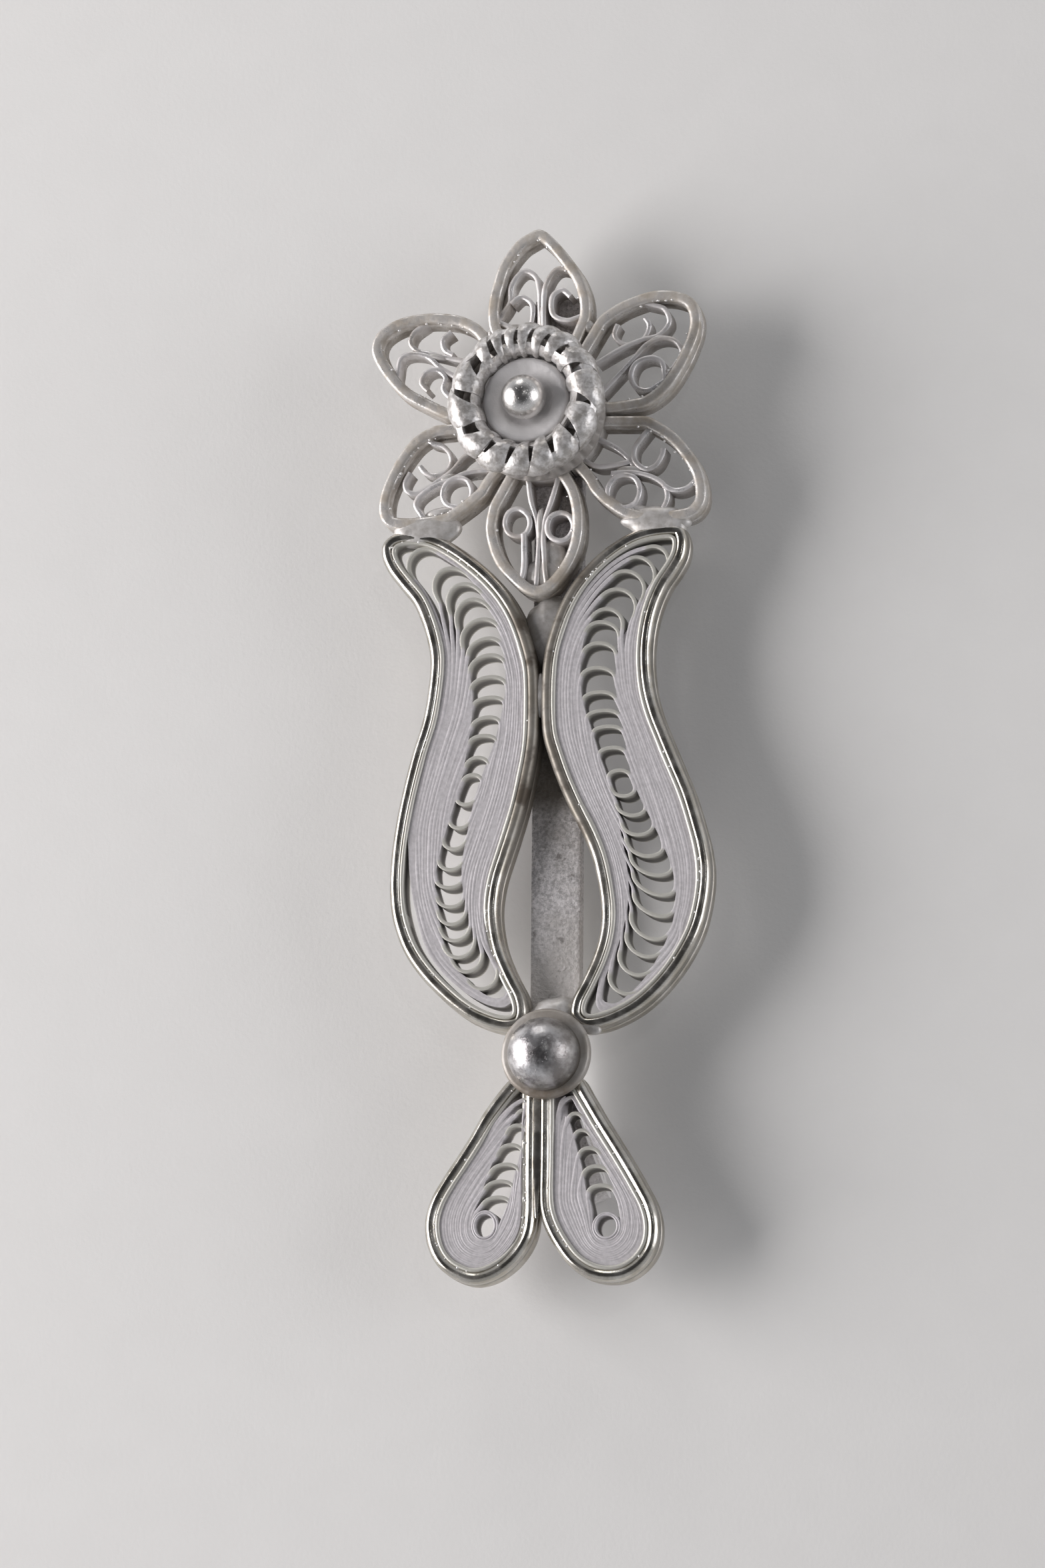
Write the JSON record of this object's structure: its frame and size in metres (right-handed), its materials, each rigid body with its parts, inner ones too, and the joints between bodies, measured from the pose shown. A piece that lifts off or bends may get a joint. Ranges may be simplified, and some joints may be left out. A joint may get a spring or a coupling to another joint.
{
  "type": "filigree saree pin",
  "caption": "Filigree flower over curved wire-filled leaves and a forked tail, on a flat backing strip with a plain pin and catch.",
  "frame": {"origin": "on the surface the pin lies on, under the middle of its outline", "axes": "+Y runs from the tail to the flower, +Z is the front, +X is the right of the front view"},
  "size_m": [0.0196, 0.06, 0.0092],
  "materials": {
    "wirework": "whitened matte silver wire",
    "matte_plate": "whitened matte silver plate",
    "polished": "burnished silver"
  },
  "bodies": {
    "root": {"petal_top": "wirework", "petal_upper_right": "wirework", "petal_lower_right": "wirework", "petal_bottom": "wirework", "petal_lower_left": "wirework", "petal_upper_left": "wirework", "leaf_left": "wirework", "leaf_right": "wirework", "tail_left": "wirework", "tail_right": "wirework", "crown_seat": "matte_plate", "crown_coil": "wirework", "centre_cup": "matte_plate", "centre_ball": "polished", "dome_collar": "matte_plate", "dome": "polished", "backing_strip": "matte_plate", "pin_stem": "polished"}
  },
  "joints": []
}
